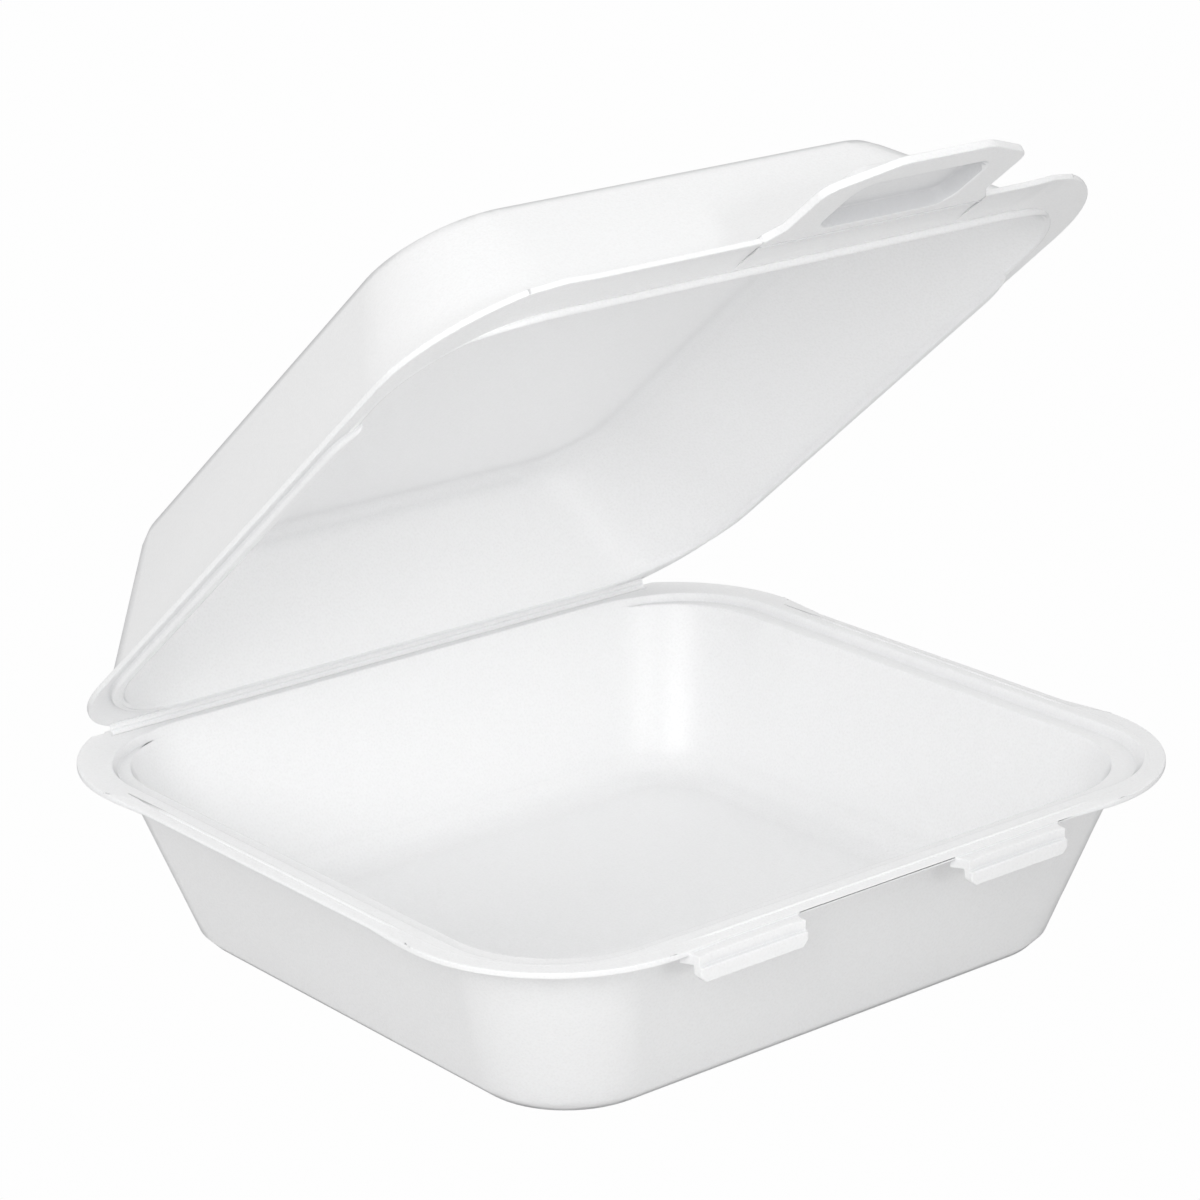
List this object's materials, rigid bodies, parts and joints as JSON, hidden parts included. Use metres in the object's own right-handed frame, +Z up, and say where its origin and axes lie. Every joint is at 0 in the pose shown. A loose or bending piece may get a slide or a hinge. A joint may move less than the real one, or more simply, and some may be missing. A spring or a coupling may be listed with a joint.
{
  "type": "foam clamshell container",
  "caption": "Hinged foam take-away container: a flared square tray and a domed lid joined by a pressed fold, with two front latches and a lifting tab.",
  "frame": {"origin": "middle of the tray floor's underside, on the table", "axes": "X along the fold line, latches and tab towards -Y, fold towards +Y, +Z up out of the tray"},
  "size_m": [0.232, 0.2244, 0.2238],
  "materials": {
    "foam_tray": "white expanded polystyrene foam skin with a fine grain and a soft sheen",
    "foam_lid": "white expanded polystyrene foam skin with a fine grain and a soft sheen"
  },
  "bodies": {
    "tray": {"tray": "foam_tray"},
    "lid": {"lid": "foam_lid"}
  },
  "joints": [
    {"name": "lid_hinge", "type": "hinge", "parent": "tray", "child": "lid", "pos_m": [0, 0.1026, 0.05115], "axis": [-1, 0, 0], "range_deg": [-40, 140]}
  ]
}
